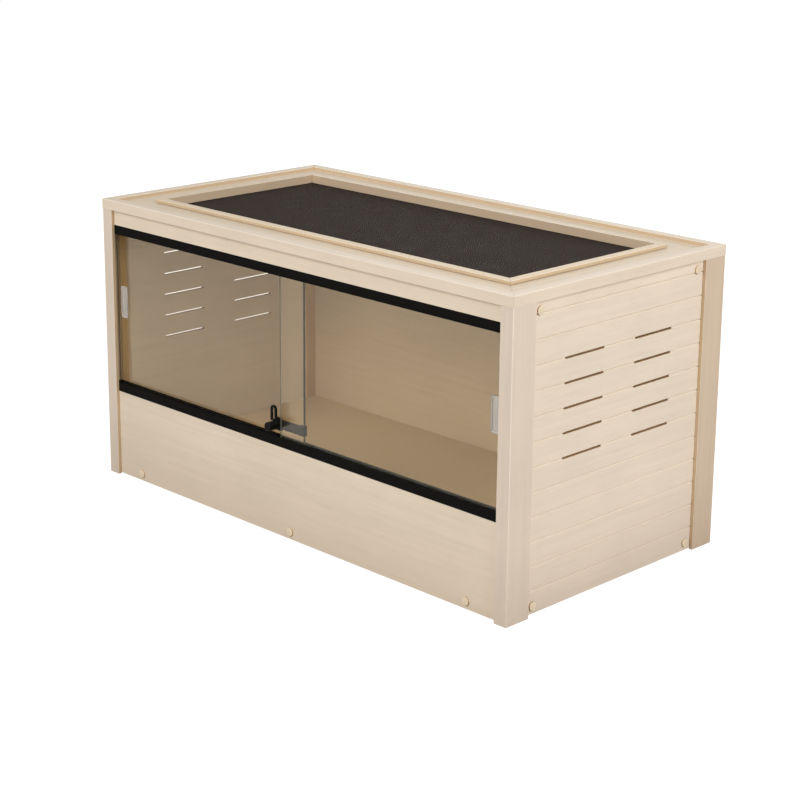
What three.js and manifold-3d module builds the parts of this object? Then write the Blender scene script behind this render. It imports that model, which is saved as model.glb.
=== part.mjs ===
// Stackable terrarium cabinet with a sliding glass front and a lift-off screen top.
// Millimetres, +Z up, the glass front faces -Y. The origin is on the ground, in the middle
// of the outline that the cabinet and the lock on its front make together.

import * as THREE from 'three';
import { mergeVertices } from 'three/addons/utils/BufferGeometryUtils.js';
import Module from 'manifold-3d';

// ---------------------------------------------------------------------------
// Driving dimensions
// ---------------------------------------------------------------------------

// Overall size, taken over the top frame.
const WIDTH = 922;
const DEPTH = 480;
const HEIGHT = 480;

// Clearances.
const FIT = 0.25; // board in its channel, or piece on its seat
const GLASS_PLAY = 0.4; // each side of a pane in its groove
const RUN = 0.3; // between pieces that slide past each other
const MITRE_GAP = 0.15; // each rail's half of a mitre joint

// Wall boards.
const BOARD = 7; // thickness
const BOARD_FOOT = 2; // height of the boards' lower edges above the ground
const PLANK_PITCH = 37; // from one V-groove to the next, counted from the ground
const GROOVE_WIDTH = 3;
const GROOVE_DEPTH = 1.8;
const LOWER_BOARD_HEIGHT = 146.25;
const HEADER_HEIGHT = 25.25;

// Vent slots, each cut along a V-groove of the side walls.
const VENT_LENGTH = 86;
const VENT_HEIGHT = 3.6;
const VENT_OFFSET = 78; // from the middle of the wall to the middle of a column
const VENT_FIRST_GROOVE = 6;
const VENT_ROWS = 5;

// Corner posts, an open extrusion with a channel for each board.
const FRAME_OVERHANG = 0.5; // top frame beyond the posts
const POST_WALL = 5.5;
const POST_FRONT_FLANGE = 23.5;
const POST_SIDE_FLANGE = 47.5;
const POST_CORE = 7; // solid part behind the side flange, at the bottom of the front pocket
const POST_SLOT_WEB = 26; // from the front face to the bottom of the side wall's slot
const POST_CHEEK = 3.5; // thickness of the inner cheek
const POST_CHEEK_LENGTH = 9;
const POST_POCKET_SPARE = 1.9; // free depth behind the glass tracks
const POST_ROUND = 1;

// Top frame: a mitred moulding with a raised lip round a flat recess.
const FRAME_HEIGHT = 17;
const RAIL_WIDTH = 69.5;
const LIP_WIDTH = 17;
const LIP_HEIGHT = 7;
const LIP_ROUND = 2;
const LIP_INNER_ROUND = 1.5;
const FRAME_FOOT_ROUND = 0.8; // lower outer edge, where the frame sits on the posts

// Screen top, which lifts off the recess.
const SCREEN_SEAT = 6.5; // how far it laps over the frame on each side
const SCREEN_BAR = 12.5; // width of its moulding seen from above
const SCREEN_EDGE = 5.8; // height of its outer edge
const SCREEN_CROWN = 6.9; // height of its inner edge
const SCREEN_RELIEF = 0.8; // its outer foot stands clear of the frame, which leaves a dark line
const SCREEN_RELIEF_WIDTH = 3;
const SCREEN_LIFT_PLAY = 0.7; // between its skirt and the frame's opening
const SCREEN_SKIRT_WALL = 2.3;
const SCREEN_SKIRT_DROP = 11.5; // skirt below the recess floor
const MESH_DEPTH = 14.5; // mesh below the crown
const MESH_THICKNESS = 1;
const MESH_LAND = 2.75; // mesh edge held under the moulding
const MESH_COLUMNS = 12; // coarse openings that stand for the woven wire
const MESH_ROWS = 5;
const MESH_BAR = 4;

// Floor and the battens that the wall screws bite into.
const FLOOR_TOP = 43;
const FLOOR_BOARD = 8;
const BATTEN = 15;
const TOP_BATTEN_HEIGHT = 28;

// Screw covers.
const CAP_RADIUS = 6.8;
const CAP_RIM = 2;
const CAP_DOME = 0.8;
const CAP_STEM_RADIUS = 2.9;
const CAP_STEM_LENGTH = 5.5;
const CAP_INSET = 14; // from the ground, and from the top of the posts
const CAP_ACROSS_INSET = 83; // on the front and rear, from the posts' side faces
const CAP_SIDE_INSET = 61; // on the side walls, from the posts' front and rear faces

// Glass and its tracks.
const GLASS = 4;
const PANE_LAP = 48; // how far the panes overlap in the middle
const PANE_END_PLAY = 1.5; // from a pane's outer edge to the bottom of the post's pocket
const GLASS_BEVEL = 0.5;
const TRACK_FACE = 15.25; // height of a track's front face
const TRACK_LIP = 1.5;
const TRACK_CENTRE_LIP = 3;
const LOWER_TRACK_FLOOR = 8;
const UPPER_TRACK_ROOF = 2.5;
const TRACK_LEG = 10; // clip leg down the back of the lower board
const UPPER_ENGAGEMENT = 5; // glass inside the upper track

// Finger pulls.
const PULL_WIDTH = 15.4;
const PULL_HEIGHT = 54;
const PULL_THICKNESS = 2.6;
const PULL_FLOOR = 0.8;
const PULL_RIM = 2.2;
const PULL_INSET = 12.5; // from the pane's outer edge
const PULL_RISE = 13.1; // above the middle of the pane
const PULL_SEAT = 0.1; // adhesive pad

// Lock: a hooked bar round the inner pane's edge and a body that grips the bar.
const LOCK_RISE = 19.25; // middle of the bar above the lower track
const BAR_HEIGHT = 16;
const BAR_THICKNESS = 1.5;
const BAR_TAIL = 62; // bar from the pane's edge to its free end
const HOOK_RETURN = 12;
const HOOK_ROUND = 1;
const BODY_WIDTH = 15.4;
const BODY_BACK_HEIGHT = 20;
const BODY_BACK_DEPTH = 6;
const BARREL_RADIUS = 7.2;
const BARREL_REACH = 12; // barrel's end beyond the top frame
const BARREL_ROUND = 1.5;
const BODY_PANE_GAP = 0.6;
const KEY_BOW_WIDTH = 13;
const KEY_BOW_HEIGHT = 25;
const KEY_WIRE = 3.7;
const KEY_THICKNESS = 3;
const KEY_BRIDGE = 2; // bar that closes the bow above the barrel
const KEY_STEM_RADIUS = 2;
const KEY_STEM_LENGTH = 7;
const KEY_STEM_PLAY = 0.2;
const KEY_SETBACK = 14.4; // from the barrel's front end to the key

// Facets round a full circle.
const ROUND_STEPS = 24;
const CAP_STEPS = 16;
const HOLE_STEPS = 12;
const RAIL_STEPS = 6; // round each eased edge of a moulding

// ---------------------------------------------------------------------------
// Places worked out from those sizes
// ---------------------------------------------------------------------------

const postX = WIDTH / 2 - FRAME_OVERHANG; // outer side face of a post
const postY = DEPTH / 2 - FRAME_OVERHANG; // outer front or rear face of a post
const postTop = HEIGHT - FRAME_HEIGHT;

const slotWidth = BOARD + 2 * FIT;
const glassGroove = GLASS + 2 * GLASS_PLAY;
const trackDepth = 2 * TRACK_LIP + TRACK_CENTRE_LIP + 2 * glassGroove;
const pocketFloor = POST_WALL + POST_CORE; // from the post's side face
const frontPocketWidth = trackDepth + POST_POCKET_SPARE;
const cheekInner = POST_WALL + slotWidth + POST_CHEEK;
const cheekEnd = POST_SLOT_WEB + POST_CHEEK_LENGTH;

const wallX = postX - POST_WALL - FIT; // outer face of a side wall
const wallY = postY - POST_WALL - FIT; // outer face of the front and rear boards
const insideX = wallX - BOARD;
const insideY = wallY - BOARD;
const boardTop = postTop - FIT;
const acrossHalf = postX - pocketFloor - FIT; // half length of the boards across the front and rear
const alongHalf = postY - POST_SLOT_WEB - FIT; // half length of the side walls

const lowerBoardTop = BOARD_FOOT + LOWER_BOARD_HEIGHT;
const lowerTrackBase = lowerBoardTop + FIT;
const headerBottom = boardTop - HEADER_HEIGHT;
const upperTrackTop = headerBottom - FIT;
const upperTrackMouth = upperTrackTop - TRACK_FACE;

const trackFront = -wallY;
const outerPaneFace = trackFront + TRACK_LIP + GLASS_PLAY;
const paneStep = glassGroove + TRACK_CENTRE_LIP;
const innerPaneFace = outerPaneFace + paneStep;
const paneBottom = lowerTrackBase + LOWER_TRACK_FLOOR + RUN;
const paneTop = upperTrackMouth + UPPER_ENGAGEMENT;
const outerPaneEdge = -PANE_LAP / 2; // left edge of the right-hand pane
const innerPaneEdge = PANE_LAP / 2; // right edge of the left-hand pane
const paneWidth = PANE_LAP / 2 + postX - pocketFloor - PANE_END_PLAY;

const recessFloor = HEIGHT - LIP_HEIGHT;
const screenX = WIDTH / 2 - RAIL_WIDTH + SCREEN_SEAT;
const screenY = DEPTH / 2 - RAIL_WIDTH + SCREEN_SEAT;
const screenBase = recessFloor + FIT;
const meshTop = screenBase + SCREEN_CROWN - MESH_DEPTH;

const floorBoardBottom = FLOOR_TOP - FLOOR_BOARD;
const battenTop = floorBoardBottom - FIT;

const lockX = outerPaneEdge - BODY_PANE_GAP - BODY_WIDTH / 2;
const lockMiddle = lowerTrackBase + TRACK_FACE + LOCK_RISE;
const barrelFront = -(DEPTH / 2 + BARREL_REACH);
const barBack = innerPaneFace - RUN; // bar's face against the inner pane
const barFront = barBack - BAR_THICKNESS;
const bodyFront = barBack - BODY_BACK_DEPTH;
const keyY = barrelFront + KEY_SETBACK;
const keyBase = lockMiddle + BARREL_RADIUS + 2 * FIT;

// ---------------------------------------------------------------------------
// Finishes
// ---------------------------------------------------------------------------

function finish(color, roughness, metalness = 0) {
  return new THREE.MeshStandardMaterial({ color, roughness, metalness });
}

const boardFinish = finish(0xdccdb6, 0.62);
const postFinish = finish(0xd8c6ae, 0.6);
const floorFinish = finish(0xcdb898, 0.7);
const battenFinish = finish(0xc9b494, 0.75);
const capFinish = finish(0xe0cfa6, 0.5);
const trackFinish = finish(0x1b1b1d, 0.45);
const meshFinish = finish(0x2e2926, 0.8);
const lockFinish = finish(0x141416, 0.4);
const barFinish = finish(0x2a2829, 0.5, 0.2);
const pullFinish = finish(0xe6e8ea, 0.15);
const glassFinish = finish(0xcfd8d2, 0.05);
glassFinish.transparent = true;
glassFinish.opacity = 0.3;

// ---------------------------------------------------------------------------
// Shape helpers
// ---------------------------------------------------------------------------

// The point at a given distance from one corner of an outline towards another.
function towards([x, y], [targetX, targetY], distance) {
  const length = Math.hypot(targetX - x, targetY - y);
  const share = length > 0 ? distance / length : 0;
  return [x + (targetX - x) * share, y + (targetY - y) * share];
}

// A closed outline through corners [x, y] or, for a rounded corner, [x, y, radius].
function outline(corners) {
  const shape = new THREE.Shape();
  corners.forEach((corner, index) => {
    const [x, y, radius = 0] = corner;
    const before = corners.at(index - 1);
    const after = corners[(index + 1) % corners.length];
    const start = towards(corner, before, radius);
    if (index === 0) {
      shape.moveTo(...start);
    } else {
      shape.lineTo(...start);
    }
    if (radius > 0) {
      shape.quadraticCurveTo(x, y, ...towards(corner, after, radius));
    }
  });
  shape.closePath();
  return shape;
}

function rectangle(left, bottom, right, top, radius = 0) {
  return outline([
    [left, bottom, radius],
    [right, bottom, radius],
    [right, top, radius],
    [left, top, radius],
  ]);
}

function circle(x, y, radius) {
  const path = new THREE.Path();
  path.absarc(x, y, radius, 0, 2 * Math.PI, false);
  return path;
}

function prism(shape, length, curveSegments = 3) {
  return new THREE.ExtrudeGeometry(shape, { depth: length, bevelEnabled: false, curveSegments });
}

// A section drawn in (Y, Z), run along X and centred on X = 0.
function runAlongX(shape, length, curveSegments) {
  const geometry = prism(shape, length, curveSegments);
  geometry.applyMatrix4(new THREE.Matrix4().makeBasis(
    new THREE.Vector3(0, 1, 0),
    new THREE.Vector3(0, 0, 1),
    new THREE.Vector3(1, 0, 0),
  ));
  return geometry.translate(-length / 2, 0, 0);
}

// A section or face drawn in (X, Z), run along Y and centred on Y = 0.
function runAlongY(shape, length, curveSegments) {
  return prism(shape, length, curveSegments).rotateX(Math.PI / 2).translate(0, length / 2, 0);
}

function block(left, front, bottom, right, back, top) {
  const geometry = new THREE.BoxGeometry(right - left, back - front, top - bottom);
  return geometry.translate((left + right) / 2, (front + back) / 2, (bottom + top) / 2);
}

const manifold = await Module();
manifold.setup();

function toSolid(geometry) {
  const bare = geometry.clone();
  bare.deleteAttribute('normal');
  bare.deleteAttribute('uv');
  const merged = mergeVertices(bare, 1e-5);
  return new manifold.Manifold(new manifold.Mesh({
    numProp: 3,
    vertProperties: new Float32Array(merged.attributes.position.array),
    triVerts: new Uint32Array(merged.index.array),
  }));
}

function toGeometry(solid) {
  const mesh = solid.getMesh();
  const geometry = new THREE.BufferGeometry();
  geometry.setAttribute('position', new THREE.BufferAttribute(new Float32Array(mesh.vertProperties), 3));
  geometry.setIndex(new THREE.BufferAttribute(new Uint32Array(mesh.triVerts), 1));
  geometry.computeVertexNormals();
  return geometry;
}

function cut(geometry, tools) {
  const solid = tools.reduce((rest, tool) => rest.subtract(toSolid(tool)), toSolid(geometry));
  return toGeometry(solid);
}

function join(first, second) {
  return toGeometry(toSolid(first).add(toSolid(second)));
}

const cabinet = new THREE.Group();
cabinet.position.y = BARREL_REACH / 2;

function place(name, geometry, material, parent = cabinet) {
  const mesh = new THREE.Mesh(geometry, material);
  mesh.name = name;
  parent.add(mesh);
  return mesh;
}

// ---------------------------------------------------------------------------
// Corner posts
// ---------------------------------------------------------------------------

// Section of a post, from its outer corner inwards. The pocket behind the front flange takes the
// boards across the front or rear; the slot behind the side flange takes the side wall.
function postSection(sideX, endY, pocketWidth) {
  const pocketBack = POST_WALL + pocketWidth;
  const slotInner = POST_WALL + slotWidth;
  const corners = [
    [0, 0, POST_ROUND],
    [POST_FRONT_FLANGE, 0, POST_ROUND / 2],
    [POST_FRONT_FLANGE, POST_WALL],
    [pocketFloor, POST_WALL],
    [pocketFloor, pocketBack],
    [cheekInner, pocketBack],
    [cheekInner, cheekEnd, POST_ROUND / 2],
    [slotInner, cheekEnd],
    [slotInner, POST_SLOT_WEB],
    [POST_WALL, POST_SLOT_WEB],
    [POST_WALL, POST_SIDE_FLANGE],
    [0, POST_SIDE_FLANGE, POST_ROUND / 2],
  ];
  return outline(corners.map(([x, y, radius]) => [-sideX * x, -endY * y, radius]));
}

for (const [side, sideX] of [['left', -1], ['right', 1]]) {
  for (const [end, endY] of [['front', -1], ['rear', 1]]) {
    const pocketWidth = end === 'front' ? frontPocketWidth : slotWidth;
    const geometry = prism(postSection(sideX, endY, pocketWidth), postTop);
    const post = place(`post_${end}_${side}`, geometry, postFinish);
    post.position.set(sideX * postX, endY * postY, 0);
  }
}

// ---------------------------------------------------------------------------
// Wall boards
// ---------------------------------------------------------------------------

function grooveHeights() {
  const heights = [];
  for (let height = PLANK_PITCH; height < boardTop - GROOVE_WIDTH; height += PLANK_PITCH) {
    heights.push(height);
  }
  return heights;
}

// Section of a planked wall: flat inside, V-grooves across its outer face. The outer face is at
// x = 0 and the wall lies towards -x.
function plankedSection() {
  const corners = [[-BOARD, boardTop], [-BOARD, BOARD_FOOT], [0, BOARD_FOOT]];
  for (const height of grooveHeights()) {
    corners.push([0, height - GROOVE_WIDTH / 2]);
    corners.push([-GROOVE_DEPTH, height]);
    corners.push([0, height + GROOVE_WIDTH / 2]);
  }
  corners.push([0, boardTop]);
  return outline(corners);
}

function ventCutter(column, row) {
  const middle = PLANK_PITCH * (VENT_FIRST_GROOVE + row);
  const slot = rectangle(
    -VENT_LENGTH / 2,
    middle - VENT_HEIGHT / 2,
    VENT_LENGTH / 2,
    middle + VENT_HEIGHT / 2,
    VENT_HEIGHT / 2,
  );
  return runAlongX(slot, 3 * BOARD).translate(0, column * VENT_OFFSET, 0);
}

// A plain round bar, centred on the origin and lying along Y.
function roundBar(radius, length, steps) {
  return new THREE.CylinderGeometry(radius, radius, length, steps);
}

function stemCutter(x, z) {
  return roundBar(CAP_STEM_RADIUS + FIT, 3 * BOARD, HOLE_STEPS).translate(x, 0, z);
}

const sideCapReach = postY - CAP_SIDE_INSET;
const sideCaps = [];
for (const y of [-sideCapReach, sideCapReach]) {
  sideCaps.push([y, CAP_INSET]);
  sideCaps.push([y, postTop - CAP_INSET]);
}
const acrossCapReach = postX - CAP_ACROSS_INSET;
const acrossCaps = [-acrossCapReach, 0, acrossCapReach].map((x) => [x, CAP_INSET]);

// A side wall with its outer face at x = 0, facing +X.
function sideWall() {
  const wall = runAlongY(plankedSection(), 2 * alongHalf);
  const cutters = [];
  for (const column of [-1, 1]) {
    for (let row = 0; row < VENT_ROWS; row += 1) {
      cutters.push(ventCutter(column, row));
    }
  }
  for (const [y, z] of sideCaps) {
    cutters.push(stemCutter(0, 0).rotateZ(Math.PI / 2).translate(0, y, z));
  }
  return cut(wall, cutters);
}

const rightWall = place('side_panel_right', sideWall(), boardFinish);
rightWall.position.x = wallX;
const leftWall = place('side_panel_left', sideWall(), boardFinish);
leftWall.position.x = -wallX;
leftWall.rotation.z = Math.PI;

// The rear wall has the same planked section, turned to face +Y.
const rearWall = runAlongY(plankedSection(), 2 * acrossHalf).rotateZ(Math.PI / 2);
const rearHoles = acrossCaps.map(([x, z]) => stemCutter(x, z));
place('rear_panel', cut(rearWall, rearHoles), boardFinish).position.y = wallY;

function frontBoard(bottom, top, holes) {
  const face = rectangle(-acrossHalf, bottom, acrossHalf, top);
  for (const [x, z] of holes) {
    face.holes.push(circle(x, z, CAP_STEM_RADIUS + FIT));
  }
  return runAlongY(face, BOARD, HOLE_STEPS).translate(0, -wallY + BOARD / 2, 0);
}

place('lower_front_board', frontBoard(BOARD_FOOT, lowerBoardTop, acrossCaps), boardFinish);
place('header_board', frontBoard(headerBottom, boardTop, []), boardFinish);

// ---------------------------------------------------------------------------
// Floor and battens
// ---------------------------------------------------------------------------

const floorX = insideX - FIT;
const floorY = insideY - FIT;
const notchX = postX - cheekInner - FIT;
const notchY = postY - cheekEnd - FIT;

const floorOutline = outline([
  [-notchX, -floorY],
  [notchX, -floorY],
  [notchX, -notchY],
  [floorX, -notchY],
  [floorX, notchY],
  [notchX, notchY],
  [notchX, floorY],
  [-notchX, floorY],
  [-notchX, notchY],
  [-floorX, notchY],
  [-floorX, -notchY],
  [-notchX, -notchY],
]);
place('floor_board', prism(floorOutline, FLOOR_BOARD), floorFinish).position.z = floorBoardBottom;

for (const [end, endY] of [['front', -1], ['rear', 1]]) {
  const bar = block(-notchX, -BATTEN / 2, BOARD_FOOT, notchX, BATTEN / 2, battenTop);
  place(`floor_batten_${end}`, bar, battenFinish).position.y = endY * (floorY - BATTEN / 2);
}
for (const [side, sideX] of [['left', -1], ['right', 1]]) {
  const battenX = sideX * (floorX - BATTEN / 2);
  const low = block(-BATTEN / 2, -notchY, BOARD_FOOT, BATTEN / 2, notchY, battenTop);
  place(`floor_batten_${side}`, low, battenFinish).position.x = battenX;
  const high = block(-BATTEN / 2, -notchY, boardTop - TOP_BATTEN_HEIGHT, BATTEN / 2, notchY, boardTop);
  place(`top_batten_${side}`, high, battenFinish).position.x = battenX;
}

// ---------------------------------------------------------------------------
// Screw covers
// ---------------------------------------------------------------------------

// A domed cover with a stem that plugs the screw hole, facing -Y with its rim at y = 0.
function capGeometry() {
  const profile = [
    new THREE.Vector2(0, -CAP_STEM_LENGTH),
    new THREE.Vector2(CAP_STEM_RADIUS, -CAP_STEM_LENGTH),
    new THREE.Vector2(CAP_STEM_RADIUS, 0),
    new THREE.Vector2(CAP_RADIUS, 0),
  ];
  const domeSteps = 4;
  for (let step = 0; step <= domeSteps; step += 1) {
    const angle = (step / domeSteps) * (Math.PI / 2);
    profile.push(new THREE.Vector2(CAP_RADIUS * Math.cos(angle), CAP_RIM + CAP_DOME * Math.sin(angle)));
  }
  profile.at(-1).x = 0;
  return new THREE.LatheGeometry(profile, CAP_STEPS).rotateX(Math.PI);
}

const acrossNames = ['left', 'middle', 'right'];
acrossCaps.forEach(([x, z], index) => {
  const front = place(`cap_front_${acrossNames[index]}`, capGeometry(), capFinish);
  front.position.set(x, -wallY - FIT / 2, z);
  const rear = place(`cap_rear_${acrossNames[index]}`, capGeometry(), capFinish);
  rear.position.set(x, wallY + FIT / 2, z);
  rear.rotation.z = Math.PI;
});

for (const [side, sideX] of [['left', -1], ['right', 1]]) {
  for (const [y, z] of sideCaps) {
    const level = z > HEIGHT / 2 ? 'upper' : 'lower';
    const end = y < 0 ? 'front' : 'rear';
    const cap = place(`cap_${side}_${level}_${end}`, capGeometry(), capFinish);
    cap.position.set(sideX * (wallX + FIT / 2), y, z);
    cap.rotation.z = sideX * (Math.PI / 2);
  }
}

// ---------------------------------------------------------------------------
// Mitred mouldings: the top frame and the screen's frame
// ---------------------------------------------------------------------------

// One rail of a mitred frame. The profile is drawn as (distance inwards from the frame's outer
// edge, height). The rail runs along X, lies towards +Y from y = 0, and each end is cut at 45
// degrees, so a point further inwards lies nearer the middle.
function mitredRail(profile, length) {
  const rail = prism(profile, 1, RAIL_STEPS);
  const position = rail.attributes.position;
  for (let index = 0; index < position.count; index += 1) {
    const inwards = position.getX(index);
    const height = position.getY(index);
    const end = position.getZ(index) > 0.5 ? 1 : -1;
    position.setXYZ(index, end * (length / 2 - inwards - MITRE_GAP), inwards, height);
  }
  rail.computeVertexNormals();
  return rail;
}

function mitredFrame(name, profile, width, depth, material) {
  const rails = [
    ['front', width, depth, 0],
    ['right', depth, width, 1],
    ['rear', width, depth, 2],
    ['left', depth, width, 3],
  ];
  for (const [side, length, across, quarter] of rails) {
    const turned = new THREE.Group();
    turned.rotation.z = quarter * (Math.PI / 2);
    cabinet.add(turned);
    const rail = place(`${name}_${side}`, mitredRail(profile, length), material, turned);
    rail.position.y = -across / 2;
  }
}

const frameProfile = outline([
  [0, postTop, FRAME_FOOT_ROUND],
  [RAIL_WIDTH, postTop],
  [RAIL_WIDTH, recessFloor],
  [LIP_WIDTH, recessFloor],
  [LIP_WIDTH, HEIGHT, LIP_INNER_ROUND],
  [0, HEIGHT, LIP_ROUND],
]);
mitredFrame('top_rail', frameProfile, WIDTH, DEPTH, boardFinish);

const skirtOuter = SCREEN_SEAT + SCREEN_LIFT_PLAY;
const meshRebate = SCREEN_BAR - MESH_LAND - FIT;
const skirtBottom = recessFloor - SCREEN_SKIRT_DROP;
const screenProfile = outline([
  [0, screenBase + SCREEN_RELIEF],
  [SCREEN_RELIEF_WIDTH, screenBase + SCREEN_RELIEF],
  [SCREEN_RELIEF_WIDTH, screenBase],
  [skirtOuter, screenBase],
  [skirtOuter, skirtBottom],
  [skirtOuter + SCREEN_SKIRT_WALL, skirtBottom],
  [meshRebate, meshTop + FIT],
  [SCREEN_BAR, meshTop + FIT],
  [SCREEN_BAR, screenBase + SCREEN_CROWN, LIP_INNER_ROUND / 2],
  [0, screenBase + SCREEN_EDGE, LIP_INNER_ROUND / 2],
]);
mitredFrame('screen_rail', screenProfile, 2 * screenX, 2 * screenY, boardFinish);

// The mesh: a thin sheet held all round by the moulding, with a plain grid of openings.
function meshSheet() {
  const openX = screenX - SCREEN_BAR;
  const openY = screenY - SCREEN_BAR;
  const pitchX = (2 * openX + MESH_BAR) / MESH_COLUMNS;
  const pitchY = (2 * openY + MESH_BAR) / MESH_ROWS;
  const opening = new THREE.BoxGeometry(pitchX - MESH_BAR, pitchY - MESH_BAR, 3 * MESH_THICKNESS);
  const openings = [];
  for (let column = 0; column < MESH_COLUMNS; column += 1) {
    for (let row = 0; row < MESH_ROWS; row += 1) {
      const x = (column - (MESH_COLUMNS - 1) / 2) * pitchX;
      const y = (row - (MESH_ROWS - 1) / 2) * pitchY;
      openings.push(opening.clone().translate(x, y, 0));
    }
  }
  const sheetX = 2 * (openX + MESH_LAND);
  const sheetY = 2 * (openY + MESH_LAND);
  return cut(new THREE.BoxGeometry(sheetX, sheetY, MESH_THICKNESS), openings);
}

place('screen_mesh', meshSheet(), meshFinish).position.z = meshTop - MESH_THICKNESS / 2;

// ---------------------------------------------------------------------------
// Glass tracks
// ---------------------------------------------------------------------------

const innerGroove = TRACK_LIP + paneStep;

// The lower track stands on the lower board and clips over its back.
const lowerTrack = outline([
  [0, 0],
  [BOARD + FIT, 0],
  [BOARD + FIT, -TRACK_LEG],
  [BOARD + FIT + TRACK_LIP, -TRACK_LEG],
  [BOARD + FIT + TRACK_LIP, 0],
  [trackDepth, 0],
  [trackDepth, TRACK_FACE],
  [trackDepth - TRACK_LIP, TRACK_FACE],
  [trackDepth - TRACK_LIP, LOWER_TRACK_FLOOR],
  [innerGroove, LOWER_TRACK_FLOOR],
  [innerGroove, TRACK_FACE],
  [TRACK_LIP + glassGroove, TRACK_FACE],
  [TRACK_LIP + glassGroove, LOWER_TRACK_FLOOR],
  [TRACK_LIP, LOWER_TRACK_FLOOR],
  [TRACK_LIP, TRACK_FACE],
  [0, TRACK_FACE],
]);
place('track_lower', runAlongX(lowerTrack, 2 * acrossHalf), trackFinish).position
  .set(0, trackFront, lowerTrackBase);

// The upper track hangs under the header, with deeper grooves so that a pane lifts out.
const upperRoof = TRACK_FACE - UPPER_TRACK_ROOF;
const upperTrack = outline([
  [0, 0],
  [TRACK_LIP, 0],
  [TRACK_LIP, upperRoof],
  [TRACK_LIP + glassGroove, upperRoof],
  [TRACK_LIP + glassGroove, 0],
  [innerGroove, 0],
  [innerGroove, upperRoof],
  [trackDepth - TRACK_LIP, upperRoof],
  [trackDepth - TRACK_LIP, 0],
  [trackDepth, 0],
  [trackDepth, TRACK_FACE],
  [BOARD + FIT + TRACK_LIP, TRACK_FACE],
  [BOARD + FIT + TRACK_LIP, TRACK_FACE + TRACK_LEG],
  [BOARD + FIT, TRACK_FACE + TRACK_LEG],
  [BOARD + FIT, TRACK_FACE],
  [0, TRACK_FACE],
]);
place('track_upper', runAlongX(upperTrack, 2 * acrossHalf), trackFinish).position
  .set(0, trackFront, upperTrackMouth);

// ---------------------------------------------------------------------------
// Panes and finger pulls
// ---------------------------------------------------------------------------

function paneGeometry(left) {
  const face = rectangle(
    left + GLASS_BEVEL,
    paneBottom + GLASS_BEVEL,
    left + paneWidth - GLASS_BEVEL,
    paneTop - GLASS_BEVEL,
  );
  const pane = new THREE.ExtrudeGeometry(face, {
    depth: GLASS - 2 * GLASS_BEVEL,
    bevelSize: GLASS_BEVEL,
    bevelThickness: GLASS_BEVEL,
    bevelSegments: 1,
  });
  return pane.rotateX(Math.PI / 2).translate(0, GLASS - GLASS_BEVEL, 0);
}

function pullGeometry() {
  const top = PULL_HEIGHT / 2;
  const side = PULL_WIDTH / 2;
  const plate = rectangle(-side, -top, side, top, PULL_RIM);
  const dish = rectangle(-side + PULL_RIM, -top + PULL_RIM, side - PULL_RIM, top - PULL_RIM, PULL_RIM / 2);
  const body = runAlongY(plate, PULL_THICKNESS).translate(0, -PULL_THICKNESS / 2, 0);
  const pocket = runAlongY(dish, PULL_THICKNESS).translate(0, -PULL_THICKNESS / 2 - PULL_FLOOR, 0);
  return cut(body, [pocket]);
}

place('glass_pane_outer', paneGeometry(outerPaneEdge), glassFinish).position.y = outerPaneFace;
place('glass_pane_inner', paneGeometry(innerPaneEdge - paneWidth), glassFinish).position.y = innerPaneFace;

const pullX = paneWidth - PULL_INSET - PULL_WIDTH / 2;
const pullMiddle = (paneBottom + paneTop) / 2 + PULL_RISE;
place('finger_pull_outer', pullGeometry(), pullFinish).position
  .set(outerPaneEdge + pullX, outerPaneFace - PULL_SEAT, pullMiddle);
place('finger_pull_inner', pullGeometry(), pullFinish).position
  .set(innerPaneEdge - pullX, innerPaneFace - PULL_SEAT, pullMiddle);

// ---------------------------------------------------------------------------
// Lock
// ---------------------------------------------------------------------------

// The bar lies against the inner pane and hooks round its free edge.
const hookInner = innerPaneEdge + RUN;
const hookOuter = hookInner + BAR_THICKNESS;
const hookBack = innerPaneFace + GLASS + RUN;
const barTop = lockMiddle + BAR_HEIGHT / 2;
const barSection = outline([
  [innerPaneEdge - BAR_TAIL, barFront],
  [hookOuter, barFront, HOOK_ROUND],
  [hookOuter, hookBack + BAR_THICKNESS, HOOK_ROUND],
  [hookOuter - HOOK_RETURN, hookBack + BAR_THICKNESS],
  [hookOuter - HOOK_RETURN, hookBack],
  [hookInner, hookBack],
  [hookInner, barBack],
  [innerPaneEdge - BAR_TAIL, barBack],
]);
place('lock_bar', prism(barSection, BAR_HEIGHT), barFinish).position.z = barTop - BAR_HEIGHT;

// The body: a back block with a channel for the bar, and a barrel that stands out of it.
function barrelGeometry() {
  const reach = bodyFront - barrelFront;
  const profile = [
    new THREE.Vector2(0, -BODY_BACK_DEPTH / 4),
    new THREE.Vector2(BARREL_RADIUS, -BODY_BACK_DEPTH / 4),
    new THREE.Vector2(BARREL_RADIUS, reach - BARREL_ROUND),
    new THREE.Vector2(BARREL_RADIUS - BARREL_ROUND / 3, reach - BARREL_ROUND / 3),
    new THREE.Vector2(BARREL_RADIUS - BARREL_ROUND, reach),
    new THREE.Vector2(0, reach),
  ];
  return new THREE.LatheGeometry(profile, ROUND_STEPS).rotateX(Math.PI)
    .translate(lockX, bodyFront, lockMiddle);
}

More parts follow.
